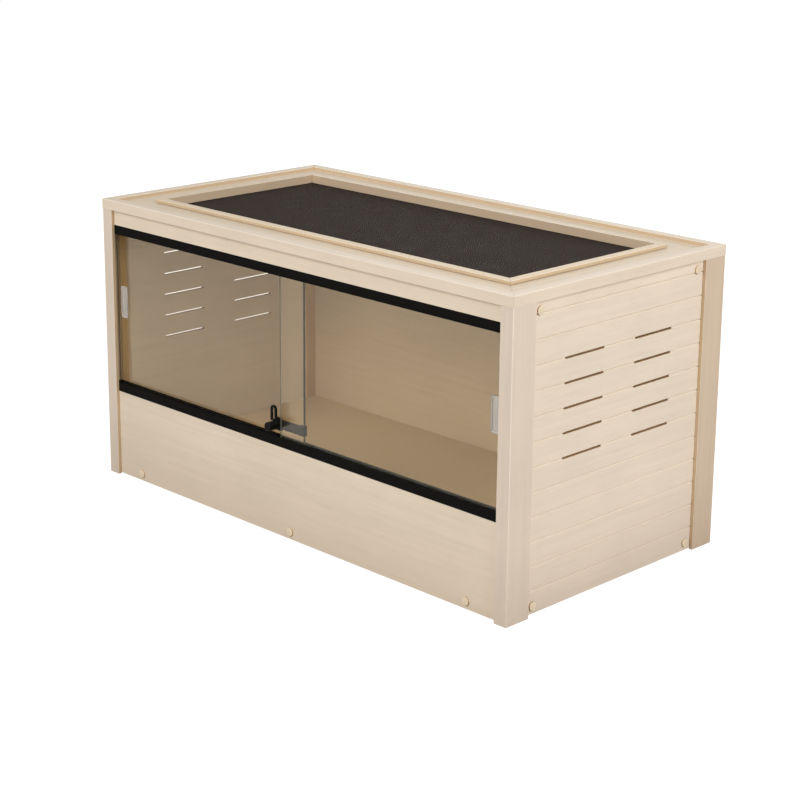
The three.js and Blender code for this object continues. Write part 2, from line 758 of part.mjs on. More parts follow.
function lockBody() {
  const halfBack = BODY_BACK_HEIGHT / 2;
  const halfSlot = BAR_HEIGHT / 2 + RUN;
  const back = block(
    lockX - BODY_WIDTH / 2, bodyFront, lockMiddle - halfBack,
    lockX + BODY_WIDTH / 2, barBack, lockMiddle + halfBack,
  );
  const channel = block(
    lockX - BODY_WIDTH, barFront - RUN, lockMiddle - halfSlot,
    lockX + BODY_WIDTH, barBack + RUN, lockMiddle + halfSlot,
  );
  const stemHole = roundBar(KEY_STEM_RADIUS + KEY_STEM_PLAY, 2 * KEY_STEM_LENGTH, ROUND_STEPS)
    .rotateX(Math.PI / 2)
    .translate(lockX, keyY, keyBase);
  return cut(join(back, barrelGeometry()), [channel, stemHole]);
}
place('lock_body', lockBody(), lockFinish);

// The key: an upright loop on a round stem.
function keyGeometry() {
  const half = KEY_BOW_WIDTH / 2;
  const hole = half - KEY_WIRE;
  const shoulder = KEY_BOW_HEIGHT - half;
  const bow = new THREE.Shape();
  bow.moveTo(-half, 0);
  bow.lineTo(half, 0);
  bow.lineTo(half, shoulder);
  bow.absarc(0, shoulder, half, 0, Math.PI, false);
  bow.closePath();
  const eye = new THREE.Path();
  eye.moveTo(-hole, KEY_BRIDGE);
  eye.lineTo(hole, KEY_BRIDGE);
  eye.lineTo(hole, shoulder);
  eye.absarc(0, shoulder, hole, 0, Math.PI, false);
  eye.closePath();
  bow.holes.push(eye);
  const loop = runAlongY(bow, KEY_THICKNESS, HOLE_STEPS);
  const stemBottom = 2 * FIT - KEY_STEM_LENGTH;
  const stemTop = KEY_BRIDGE / 2;
  const stem = roundBar(KEY_STEM_RADIUS, stemTop - stemBottom, ROUND_STEPS)
    .rotateX(Math.PI / 2)
    .translate(0, 0, (stemTop + stemBottom) / 2);
  return join(loop, stem);
}
place('lock_key', keyGeometry(), lockFinish).position.set(lockX, keyY, keyBase);

export default cabinet;
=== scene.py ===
"""Looks of the terrarium cabinet: eased boards and mouldings, glass, pulls, lock, screen cloth.

Everything is in metres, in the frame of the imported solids: +Z up, the glass front faces -Y.
"""

import logging
import math
from dataclasses import dataclass
from enum import Enum
from typing import Callable, Iterable

import bpy
import numpy as np
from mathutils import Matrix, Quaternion, Vector


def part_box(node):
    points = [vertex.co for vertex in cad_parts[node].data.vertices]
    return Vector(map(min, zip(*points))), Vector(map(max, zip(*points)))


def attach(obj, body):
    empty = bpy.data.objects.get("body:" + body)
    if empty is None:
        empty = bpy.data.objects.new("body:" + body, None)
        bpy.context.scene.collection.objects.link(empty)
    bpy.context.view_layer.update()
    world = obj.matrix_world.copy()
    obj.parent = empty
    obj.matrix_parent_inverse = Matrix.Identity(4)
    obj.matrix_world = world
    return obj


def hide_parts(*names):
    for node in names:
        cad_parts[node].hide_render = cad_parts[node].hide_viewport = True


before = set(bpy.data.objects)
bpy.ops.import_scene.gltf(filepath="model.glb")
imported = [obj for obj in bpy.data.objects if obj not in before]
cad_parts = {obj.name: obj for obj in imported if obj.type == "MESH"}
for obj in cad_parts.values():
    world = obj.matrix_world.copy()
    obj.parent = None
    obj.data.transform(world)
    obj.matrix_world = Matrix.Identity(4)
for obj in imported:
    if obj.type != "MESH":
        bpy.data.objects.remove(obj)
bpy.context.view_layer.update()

MM = 0.001
Colour = tuple[float, float, float]
Place = tuple[float, float, float]
Span = tuple[float, float]
MIX_SHARE, MIX_FIRST, MIX_SECOND = 0, 6, 7  # colour sockets of a Mix node
MIX_RESULT = 2
FACING = 0.9  # least part of a normal along a direction for a face that looks that way
EDGE_ON = 0.3  # most part of a normal along a direction for a face that stands edge-on to it
log = logging.getLogger("cabinet")


def display(red: int, green: int, blue: int) -> Colour:
    """Turns a colour as a screen shows it into the linear one that shaders use.

    Args:
        red: Red, 0 to 255.
        green: Green, 0 to 255.
        blue: Blue, 0 to 255.

    Returns:
        The linear colour.
    """
    shares = [value / 255 for value in (red, green, blue)]
    return tuple(s / 12.92 if s <= 0.04045 else ((s + 0.055) / 1.055) ** 2.4 for s in shares)


# ---------------------------------------------------------------------------
# Node trees
# ---------------------------------------------------------------------------


class NodeSheet:
    """A node tree with short ways to add and join nodes."""

    def __init__(self, tree: bpy.types.NodeTree) -> None:
        """Starts with an empty tree.

        Args:
            tree: The tree to fill.
        """
        self.tree = tree
        self.tree.nodes.clear()

    def add(self, kind: str, inputs: dict | None = None, **settings: object) -> bpy.types.Node:
        """Adds a node and fills its sockets.

        Args:
            kind: The node's type, without its "ShaderNode" prefix.
            inputs: Socket names or numbers, each with a value or a socket to link from.
            **settings: Properties of the node itself.

        Returns:
            The new node.
        """
        node = self.tree.nodes.new(kind if kind.startswith("Node") else "ShaderNode" + kind)
        for name, value in settings.items():
            setattr(node, name, value)
        for key, value in (inputs or {}).items():
            self.feed(node.inputs[key], value)
        return node

    def feed(self, target: bpy.types.NodeSocket, value: object) -> None:
        """Links a socket from another one, or sets its value.

        Args:
            target: The input socket.
            value: A socket, a number, or a colour or vector.
        """
        if isinstance(value, bpy.types.NodeSocket):
            self.tree.links.new(value, target)
        elif isinstance(value, tuple) and target.type == "RGBA":
            target.default_value = (*value, 1.0)
        else:
            target.default_value = value

    def math(self, operation: str, first: object, second: object = 0.0) -> bpy.types.NodeSocket:
        """Adds a Math node.

        Args:
            operation: The node's operation.
            first: Its first value or socket.
            second: Its second value or socket.

        Returns:
            The result's socket.
        """
        node = self.add("Math", {0: first, 1: second}, operation=operation)
        return node.outputs[0]

    def scaled(self, value: object, factor: object, plus: object = 0.0) -> bpy.types.NodeSocket:
        """Multiplies a value and adds another to it.

        Args:
            value: The value or socket.
            factor: What it is multiplied by.
            plus: What is added.

        Returns:
            The result's socket.
        """
        node = self.add("Math", {0: value, 1: factor, 2: plus}, operation="MULTIPLY_ADD")
        return node.outputs[0]

    def span(
        self, value: object, low: object, high: float, to_low: float = 0.0, to_high: float = 1.0,
    ) -> bpy.types.NodeSocket:
        """Maps a value from one range to another, clamped.

        Args:
            value: The value's socket.
            low: Start of the range it comes from, as a number or a socket.
            high: End of the range it comes from.
            to_low: Result at the start.
            to_high: Result at the end.

        Returns:
            The result's socket.
        """
        node = self.add("MapRange", {0: value, 1: low, 2: high, 3: to_low, 4: to_high})
        return node.outputs[0]

    def blend(self, share: object, first: object, second: object) -> bpy.types.NodeSocket:
        """Mixes two colours.

        Args:
            share: How much of the second colour shows.
            first: The first colour or socket.
            second: The second colour or socket.

        Returns:
            The mixed colour's socket.
        """
        node = self.add("Mix", data_type="RGBA")
        self.feed(node.inputs[MIX_SHARE], share)
        self.feed(node.inputs[MIX_FIRST], first)
        self.feed(node.inputs[MIX_SECOND], second)
        return node.outputs[MIX_RESULT]

    def noise(
        self, vector: object, scale: object, detail: float = 3.0, roughness: float = 0.5,
    ) -> bpy.types.NodeSocket:
        """Adds a noise texture.

        Args:
            vector: Where it is read.
            scale: Its scale, as a number or a socket.
            detail: Its detail.
            roughness: How strong its fine layers are.

        Returns:
            The socket of its value.
        """
        node = self.add("TexNoise", {
            "Vector": vector, "Scale": scale, "Detail": detail, "Roughness": roughness,
        })
        return node.outputs[0]


class Effects:
    """Surface effects that several finishes share, each a node group made once."""

    SWAY_SCALE = 6.0
    SWAY_REACH = 3.0
    STREAK_SCALE = 0.22
    STREAK_SPAN: Span = (0.3, 0.7)
    STREAK_HEIGHT = 0.35
    PORE_SCALE = 1.0
    PORE_END = 0.78
    PATCH_SPAN: Span = (0.32, 0.68)
    SPECK_SPAN: Span = (0.35, 0.65)
    _made: dict[str, bpy.types.NodeTree] = {}

    @classmethod
    def _group(
        cls,
        name: str,
        inputs: dict[str, tuple[str, float]],
        outputs: Iterable[str],
        fill: Callable[[NodeSheet, bpy.types.Node, bpy.types.Node], None],
    ) -> bpy.types.NodeTree:
        """Makes a group on its first use.

        Args:
            name: The group's name.
            inputs: Input names, each with its socket kind and default.
            outputs: Names of its value outputs.
            fill: Adds the nodes between the group's input and output nodes.

        Returns:
            The group's tree.
        """
        if name in cls._made:
            return cls._made[name]
        tree = bpy.data.node_groups.new(name, "ShaderNodeTree")
        sheet = NodeSheet(tree)
        for label, (kind, default) in inputs.items():
            socket = tree.interface.new_socket(
                label, in_out="INPUT", socket_type="NodeSocket" + kind,
            )
            if kind == "Float":
                socket.default_value = default
        for label in outputs:
            tree.interface.new_socket(label, in_out="OUTPUT", socket_type="NodeSocketFloat")
        fill(sheet, sheet.add("NodeGroupInput"), sheet.add("NodeGroupOutput"))
        cls._made[name] = tree
        return tree

    @classmethod
    def grain(cls) -> bpy.types.NodeTree:
        """Embossed grain along X: broad soft streaks, and fine long pores.

        Returns:
            The group, with Streak and Pore outputs from 0 to 1, and Height, which pores lower.
        """

        def fill(sheet: NodeSheet, given: bpy.types.Node, result: bpy.types.Node) -> None:
            """Adds the streaks and the pores.

            Args:
                sheet: The group's tree.
                given: The node that holds the group's inputs.
                result: The node that takes its outputs.
            """
            place = given.outputs["Vector"]
            along = given.outputs["Along"]
            across = given.outputs["Across"]
            spread = sheet.add("CombineXYZ", {0: along, 1: across, 2: across}).outputs[0]
            stretched = sheet.add("VectorMath", {0: place, 1: spread}, operation="MULTIPLY").outputs[0]
            sway = sheet.math("MULTIPLY", sheet.noise(place, cls.SWAY_SCALE, 2.0), cls.SWAY_REACH)
            aside = sheet.add("CombineXYZ", {1: sway, 2: sway}).outputs[0]
            swayed = sheet.add("VectorMath", {0: stretched, 1: aside}, operation="ADD").outputs[0]
            broad = sheet.noise(swayed, cls.STREAK_SCALE, 4.0, 0.6)
            fine = sheet.noise(swayed, cls.PORE_SCALE, 2.0, 0.5)
            streak = sheet.span(broad, *cls.STREAK_SPAN)
            pore = sheet.span(fine, given.outputs["Pore Start"], cls.PORE_END)
            sheet.feed(result.inputs["Streak"], streak)
            sheet.feed(result.inputs["Pore"], pore)
            lifted = sheet.math("MULTIPLY", streak, cls.STREAK_HEIGHT)
            sheet.feed(result.inputs["Height"], sheet.math("SUBTRACT", lifted, pore))

        inputs = {
            "Vector": ("Vector", 0.0),
            "Along": ("Float", 18.0),
            "Across": ("Float", 600.0),
            "Pore Start": ("Float", 0.58),
        }
        return cls._group("board_grain", inputs, ("Streak", "Pore", "Height"), fill)

    @classmethod
    def handling(cls) -> bpy.types.NodeTree:
        """Soft patches and fine specks, as on a surface that is handled and wiped.

        Returns:
            The group, with Patch and Speck outputs from 0 to 1.
        """

        def fill(sheet: NodeSheet, given: bpy.types.Node, result: bpy.types.Node) -> None:
            """Adds the patches and the specks.

            Args:
                sheet: The group's tree.
                given: The node that holds the group's inputs.
                result: The node that takes its outputs.
            """
            place = given.outputs["Vector"]
            patch = sheet.noise(place, given.outputs["Patch Scale"], 4.0, 0.6)
            speck = sheet.noise(place, given.outputs["Speck Scale"], 2.0, 0.6)
            sheet.feed(result.inputs["Patch"], sheet.span(patch, *cls.PATCH_SPAN))
            sheet.feed(result.inputs["Speck"], sheet.span(speck, *cls.SPECK_SPAN))

        inputs = {
            "Vector": ("Vector", 0.0),
            "Patch Scale": ("Float", 7.0),
            "Speck Scale": ("Float", 1800.0),
        }
        return cls._group("handling", inputs, ("Patch", "Speck"), fill)


# ---------------------------------------------------------------------------
# Finishes
# ---------------------------------------------------------------------------


class GrainRun(Enum):
    """The way that a board's grain runs, with the turn that lays it along X."""

    ALONG_X = (0.0, 0.0, 0.0)
    ALONG_Y = (0.0, 0.0, -math.pi / 2)
    ALONG_Z = (0.0, math.pi / 2, 0.0)


def new_material(name: str) -> tuple[bpy.types.Material, NodeSheet]:
    """Makes a material with an empty node tree.

    Args:
        name: The material's name.

    Returns:
        The material and its tree.
    """
    material = bpy.data.materials.new(name)
    material.use_nodes = True
    return material, NodeSheet(material.node_tree)


@dataclass(frozen=True)
class BoardFinish:
    """Wood-plastic composite with a fine embossed grain, edges lightened as wear and painted highlight, and
    painted shade that darkens it towards the ground.
    """

    name: str
    ground: Colour
    dark_tone: float = 0.62
    pale_tone: float = 1.06
    pore_depth: float = 0.16
    streak_depth: float = 0.15
    # edges and groove flanks lighter: partly wear, partly painted highlight where light catches them
    edge_wear_and_highlight_gain: float = 0.5
    edge_wear_and_highlight_tone: Colour = display(240, 229, 212)
    # painted shade near the ground: tone, share and height of the darkening towards the floor
    low_shade_tone: Colour = (0.72, 0.68, 0.66)
    low_shade_share: float = 0.4
    low_shade_height: float = 120.0 * MM
    roughness: float = 0.58
    smoother: float = 0.06
    rougher: float = 0.05
    edge_polish: float = 0.12
    specular: float = 0.35
    speck_height: float = 0.1
    relief: float = 0.00006

    def material(self, run: GrainRun) -> bpy.types.Material:
        """Makes the finish for one run of the grain, or returns it if it is there already.

        Args:
            run: The way the grain runs.

        Returns:
            The material.
        """
        name = f"{self.name}_{run.name.lower()}"
        if name in bpy.data.materials:
            return bpy.data.materials[name]
        material, sheet = new_material(name)
        place = sheet.add("TexCoord").outputs["Object"]
        turned = sheet.add("Mapping", {"Vector": place, "Rotation": run.value}).outputs[0]
        grain = sheet.add("Group", node_tree=Effects.grain())
        sheet.feed(grain.inputs["Vector"], turned)
        handling = sheet.add("Group", node_tree=Effects.handling())
        sheet.feed(handling.inputs["Vector"], place)
        dark = tuple(part * self.dark_tone for part in self.ground)
        pale = tuple(min(1.0, part * self.pale_tone) for part in self.ground)
        low_shade_colour = tuple(part * tone for part, tone in zip(self.ground, self.low_shade_tone))
        pores = sheet.math("MULTIPLY", grain.outputs["Pore"], self.pore_depth)
        shade = sheet.scaled(grain.outputs["Streak"], self.streak_depth, pores)
        patched = sheet.blend(handling.outputs["Patch"], self.ground, pale)
        colour = sheet.blend(shade, patched, dark)
        # painted highlight and wear: marked edges and groove flanks blend towards a paler tone
        edge = sheet.add("Attribute", attribute_name="edge_wear_and_highlight").outputs["Fac"]
        wear_and_highlight = sheet.math("MULTIPLY", edge, self.edge_wear_and_highlight_gain)
        colour = sheet.blend(wear_and_highlight, colour, self.edge_wear_and_highlight_tone)
        # painted shade: the colour darkens towards the ground, for the shade near the floor
        height_above = sheet.add("SeparateXYZ", {"Vector": place}).outputs["Z"]
        low = sheet.span(height_above, 0.0, self.low_shade_height, self.low_shade_share, 0.0)
        colour = sheet.blend(low, colour, low_shade_colour)
        rough = sheet.span(
            handling.outputs["Patch"], 0.0, 1.0,
            self.roughness - self.smoother, self.roughness + self.rougher,
        )
        rough = sheet.scaled(edge, -self.edge_polish, rough)
        height = sheet.scaled(handling.outputs["Speck"], self.speck_height, grain.outputs["Height"])
        bump = sheet.add("Bump", {"Strength": 1.0, "Distance": self.relief, "Height": height})
        shader = sheet.add("BsdfPrincipled", {
            "Base Color": colour, "Roughness": rough, "Normal": bump.outputs[0],
            "Specular IOR Level": self.specular,
        })
        sheet.add("OutputMaterial", {"Surface": shader.outputs[0]})
        return material


@dataclass(frozen=True)
class MouldedFinish:
    """Moulded or coated stuff: a fine speckled skin with handled patches and drawn lines."""

    name: str
    ground: Colour
    worn: Colour
    roughness: float
    roughness_play: float = 0.1
    relief: float = 0.00002
    line_depth: float = 0.0
    line_along: float = 4.0
    line_across: float = 1400.0
    line_start: float = 0.5
    patch_scale: float = 30.0
    patch_share: float = 0.35
    edge_share: float = 0.5
    run: GrainRun = GrainRun.ALONG_X
    metallic: float = 0.0
    specular: float = 0.5

    def material(self) -> bpy.types.Material:
        """Makes the finish, or returns it if it is there already.

        Returns:
            The material.
        """
        if self.name in bpy.data.materials:
            return bpy.data.materials[self.name]
        material, sheet = new_material(self.name)
        place = sheet.add("TexCoord").outputs["Object"]
        handling = sheet.add("Group", node_tree=Effects.handling())
        sheet.feed(handling.inputs["Patch Scale"], self.patch_scale)
        sheet.feed(handling.inputs["Vector"], place)
        turned = sheet.add("Mapping", {"Vector": place, "Rotation": self.run.value}).outputs[0]
        lines = sheet.add("Group", node_tree=Effects.grain())
        sheet.feed(lines.inputs["Vector"], turned)
        sheet.feed(lines.inputs["Along"], self.line_along)
        sheet.feed(lines.inputs["Across"], self.line_across)
        sheet.feed(lines.inputs["Pore Start"], self.line_start)
        edge = sheet.add("Attribute", attribute_name="edge_wear_and_highlight").outputs["Fac"]
        edges = sheet.math("MULTIPLY", edge, self.edge_share)
        share = sheet.scaled(handling.outputs["Patch"], self.patch_share, edges)
        colour = sheet.blend(share, self.ground, self.worn)
        rough = sheet.span(
            handling.outputs["Patch"], 0.0, 1.0,
            self.roughness - self.roughness_play, self.roughness + self.roughness_play,
        )
        height = sheet.scaled(lines.outputs["Streak"], self.line_depth, handling.outputs["Speck"])
        bump = sheet.add("Bump", {"Strength": 1.0, "Distance": self.relief, "Height": height})
        shader = sheet.add("BsdfPrincipled", {
            "Base Color": colour, "Roughness": rough, "Normal": bump.outputs[0],
            "Metallic": self.metallic, "Specular IOR Level": self.specular,
        })
        sheet.add("OutputMaterial", {"Surface": shader.outputs[0]})
        return material


@dataclass(frozen=True)
class ClearFinish:
    """Glass or clear plastic that lets lamps through to what is behind it."""

    name: str
    tint: Colour
    shadow: Colour
    roughness: float
    smear: float
    bend: float = 1.45
    clearness: float = 1.0
    gloss: float = 0.5
    relief: float = 0.0
    patch_scale: float = 12.0
    speck_scale: float = 240.0
    smear_start: float = 0.4

    def material(self) -> bpy.types.Material:
        """Makes the finish, or returns it if it is there already.

        Returns:
            The material.
        """
        if self.name in bpy.data.materials:
            return bpy.data.materials[self.name]
        material, sheet = new_material(self.name)
        place = sheet.add("TexCoord").outputs["Object"]
        handling = sheet.add("Group", node_tree=Effects.handling())
        sheet.feed(handling.inputs["Patch Scale"], self.patch_scale)
        sheet.feed(handling.inputs["Speck Scale"], self.speck_scale)
        sheet.feed(handling.inputs["Vector"], place)
        rough = sheet.span(
            handling.outputs["Patch"], self.smear_start, 1.0,
            self.roughness, self.roughness + self.smear,
        )
        shader = sheet.add("BsdfPrincipled", {
            "Base Color": self.tint, "Roughness": rough, "IOR": self.bend,
            "Transmission Weight": self.clearness, "Specular IOR Level": self.gloss,
        })
        if self.relief:
            bump = sheet.add("Bump", {
                "Strength": 1.0, "Distance": self.relief, "Height": handling.outputs["Speck"],
            })
            sheet.feed(shader.inputs["Normal"], bump.outputs[0])
        lamps = sheet.add("BsdfTransparent", {"Color": self.shadow})
        path = sheet.add("LightPath")
        mixed = sheet.add("MixShader", {
            0: path.outputs["Is Shadow Ray"], 1: shader.outputs[0], 2: lamps.outputs[0],
        })
        sheet.add("OutputMaterial", {"Surface": mixed.outputs[0]})
        return material


WALL_BOARD = BoardFinish("wall_board", display(230, 215, 197), edge_wear_and_highlight_gain=0.4)
GROOVE_SHADE = BoardFinish("groove_shade", display(222, 205, 184), edge_wear_and_highlight_gain=0.0)
VENT_INSIDE = BoardFinish("vent_inside", display(180, 145, 106), edge_wear_and_highlight_gain=0.0)
# painted shade: the post flanks that stand out of the boards are darker and browner, for the shade on them
POST_FLANK_SHADE = BoardFinish("post_flank_painted_shade", display(214, 186, 150), edge_wear_and_highlight_gain=0.1)
FRONT_BOARD = BoardFinish("front_board", display(229, 213, 192), streak_depth=0.17)
# painted shade: the rear panel is a darker copy of the wall board, for the shade inside the cabinet
SHADED_REAR_BOARD = BoardFinish("rear_board", display(217, 200, 179), streak_depth=0.2)
FRAME_BOARD = BoardFinish("frame_board", display(227, 211, 191))
# painted shade: the recess floor and the inner faces of the lip are darker copies of the frame board
FRAME_INSIDE_SHADE = BoardFinish("frame_inside_painted_shade", display(208, 184, 152), edge_wear_and_highlight_gain=0.1)
FRAME_RECESS_SHADE = BoardFinish("frame_recess_painted_shade", display(223, 206, 182))
SCREEN_BOARD = BoardFinish("screen_board", display(225, 206, 179))
# painted shade: the upright inner and outer faces of the screen rails are darker copies of the screen board
SCREEN_OUTSIDE_SHADE = BoardFinish("screen_outside_painted_shade", display(206, 183, 150), edge_wear_and_highlight_gain=0.1)
SCREEN_INSIDE_SHADE = BoardFinish("screen_inside_painted_shade", display(206, 182, 153))
# painted light and shade: the front posts get a paler copy and the rear posts a darker copy of one post
# colour
PAINTED_LIT_POST = BoardFinish("post_painted_light", display(222, 206, 189), streak_depth=0.18)
PAINTED_SHADED_POST = BoardFinish("post_painted_shade", display(211, 190, 167), streak_depth=0.18)
FLOOR_BOARD = BoardFinish("floor_board", display(214, 193, 160), roughness=0.5)
SAWN_BATTEN = BoardFinish(
    "sawn_batten", display(206, 188, 160), pore_depth=0.3, roughness=0.7, relief=0.00012,
)
SCREW_COVER = MouldedFinish("screw_cover", display(226, 208, 180), display(233, 218, 194), 0.45)
# painted shade: the covers' rims are dark brown, for the shade in the gap under their edge
COVER_RIM_SHADE = MouldedFinish("screw_cover_rim_painted_shade", display(196, 160, 112), display(206, 174, 130), 0.55)
TRACK = MouldedFinish(
    "glass_track", display(15, 14, 13), display(24, 23, 22), 0.5,
    line_depth=1.5, relief=0.00004, specular=0.06,
)
COATED_BAR = MouldedFinish("lock_strip", display(38, 36, 37), display(58, 55, 54), 0.5, specular=0.2)
COATED_LOCK = MouldedFinish("lock_coating", display(9, 9, 9), display(24, 23, 23), 0.45, specular=0.15)
SCREEN_CLOTH = MouldedFinish("screen_cloth", display(58, 50, 45), display(74, 65, 58), 0.65, specular=0.12)
PANE_GLASS = ClearFinish("pane_glass", (0.97, 0.93, 0.82), (0.71, 0.67, 0.575), 0.0, 0.012, gloss=0.2)
GROUND_EDGE = ClearFinish(
    "ground_glass_edge", display(112, 122, 112), (0.5, 0.55, 0.5), 0.35, 0.1, clearness=0.55, relief=0.00005,
)
SHADED_EDGE = ClearFinish(
    "shaded_glass_edge", display(66, 72, 60), (0.3, 0.34, 0.3), 0.35, 0.1, clearness=0.3, relief=0.00005,
)
PULL_PLASTIC = ClearFinish(
    "pull_plastic", display(222, 219, 213), (0.7, 0.7, 0.7), 0.12, 0.15, 1.49, clearness=0.6, relief=0.0001,
)


# ---------------------------------------------------------------------------
# Bench tools
# ---------------------------------------------------------------------------


class Bench:
    """The steps that every piece goes through: copy, shape, finish and seat."""

    MERGE_DISTANCE = 0.000005
    FLAT_ANGLE = 0.4  # degrees; faces that meet at less are one flat face
    AREA_WEIGHT = 100

    @staticmethod
    def clear() -> None:
        """Leaves edit mode and deselects everything."""
        if bpy.context.object and bpy.context.object.mode != "OBJECT":
            bpy.ops.object.mode_set(mode="OBJECT")
        bpy.ops.object.select_all(action="DESELECT")

    @classmethod
    def take(cls, piece: bpy.types.Object) -> None:
        """Makes a piece the only one that is selected.

        Args:
            piece: The piece.
        """
        cls.clear()
        piece.select_set(True)
        bpy.context.view_layer.objects.active = piece

    @classmethod
    def copy_of(cls, node: str, name: str) -> bpy.types.Object:
        """Copies a solid's mesh, joins its loose triangles and clears the seams of flat faces.

        Args:
            node: The solid's name.
            name: The copy's name.

        Returns:
            The copy.
        """
        piece = bpy.data.objects.new(name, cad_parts[node].data.copy())
        piece.data.name = name
        bpy.context.scene.collection.objects.link(piece)
        cls.take(piece)
        bpy.ops.mesh.customdata_custom_splitnormals_clear()
        bpy.ops.object.mode_set(mode="EDIT")
        bpy.ops.mesh.select_all(action="SELECT")
        bpy.ops.mesh.remove_doubles(threshold=cls.MERGE_DISTANCE)
        bpy.ops.mesh.dissolve_limited(angle_limit=math.radians(cls.FLAT_ANGLE))
        bpy.ops.object.mode_set(mode="OBJECT")
        return piece

    @classmethod
    def ease(cls, piece: bpy.types.Object, width: float, steps: int = 2, angle: float = 25.0) -> None:
        """Rounds a piece's sharp edges with a bevel.

        Args:
            piece: The piece.
            width: Width of the bevel; 0 leaves the piece as it is.
            steps: Segments of the bevel.
            angle: Least angle, in degrees, between the faces of an edge that is rounded.
        """
        if width == 0.0:
            return
        bevel = piece.modifiers.new("eased", "BEVEL")
        bevel.width = width
        bevel.segments = steps
        bevel.limit_method = "ANGLE"
        bevel.angle_limit = math.radians(angle)
        cls.take(piece)
        bpy.ops.object.modifier_apply(modifier=bevel.name)

    @classmethod
    def smooth(cls, piece: bpy.types.Object, angle: float = 35.0) -> None:
        """Shades a piece smooth, but for edges sharper than an angle, and keeps large faces flat.

        Args:
            piece: The piece.
            angle: The angle, in degrees.
        """
        cls.take(piece)
        bpy.ops.object.shade_smooth_by_angle(angle=math.radians(angle))
        weighted = piece.modifiers.new("flat_faces", "WEIGHTED_NORMAL")
        weighted.weight = cls.AREA_WEIGHT
        weighted.keep_sharp = True
        bpy.ops.object.modifier_apply(modifier=weighted.name)

    @staticmethod
    def mark_edges(piece: bpy.types.Object, square: float = 0.985) -> None:
        """Marks the faces that aren't square to an axis, rounded edges and groove flanks, which finishes
        lighten as wear and, on boards, as painted highlight.

        Args:
            piece: The piece.
            square: Least share of a normal along one axis for a face that counts as square.
        """
        mesh = piece.data
        values = np.zeros(len(mesh.loops), np.float32)
        for face in mesh.polygons:
            if max(abs(part) for part in face.normal) < square:
                start = face.loop_start
                values[start:start + face.loop_total] = 1.0
        layer = mesh.attributes.new("edge_wear_and_highlight", "FLOAT", "CORNER")
        layer.data.foreach_set("value", values)

    @staticmethod
    def dress(piece: bpy.types.Object, *materials: bpy.types.Material) -> None:
        """Gives a piece its materials in place of any that it has.

        Args:
            piece: The piece.
            *materials: The materials, one for each slot.
        """
        piece.data.materials.clear()
        for material in materials:
            piece.data.materials.append(material)

    @staticmethod
    def add_finish(
        piece: bpy.types.Object,
        material: bpy.types.Material,
        chosen: Callable[[bpy.types.MeshPolygon], bool],
    ) -> None:
        """Gives some faces of a piece another finish.

        Args:
            piece: The piece.
            material: The other finish.
            chosen: Tells whether a face gets it.
        """
        piece.data.materials.append(material)
        slot = len(piece.data.materials) - 1
        for face in piece.data.polygons:
            if chosen(face):
                face.material_index = slot

    @staticmethod
    def seat(piece: bpy.types.Object, body: str, slot: str, *nodes: str) -> bpy.types.Object:
        """Lets a finished piece ride on a body and stand for solids.

        Args:
            piece: The piece.
            body: The body it rides on.
            slot: The record's material slot; not used.
            *nodes: The solids it stands for.

        Returns:
            The piece.
        """
        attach(piece, body)
        if nodes:
            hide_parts(*nodes)
        log.info("%s rides on %s, %d faces", piece.name, body, len(piece.data.polygons))
        return piece

    @classmethod
    def eased_solid(
        cls, node: str, body: str, slot: str, material: bpy.types.Material,
        width: float, steps: int = 2, angle: float = 25.0,
    ) -> bpy.types.Object:
        """Makes the eased and dressed piece that stands for a solid.

        Args:
            node: The solid's name.
            body: The body it rides on.
            slot: The record's material slot.
            material: The finish.
            width: Width of the rounded edges.
            steps: Segments of the rounded edges.
            angle: Least angle of an edge that is rounded, in degrees.

        Returns:
            The piece.
        """
        piece = cls.copy_of(node, f"{node}_eased")
        cls.ease(piece, width, steps, angle)
        cls.mark_edges(piece)
        cls.smooth(piece)
        cls.dress(piece, material)
        return cls.seat(piece, body, slot, node)


# ---------------------------------------------------------------------------
# Sub-assemblies
# ---------------------------------------------------------------------------


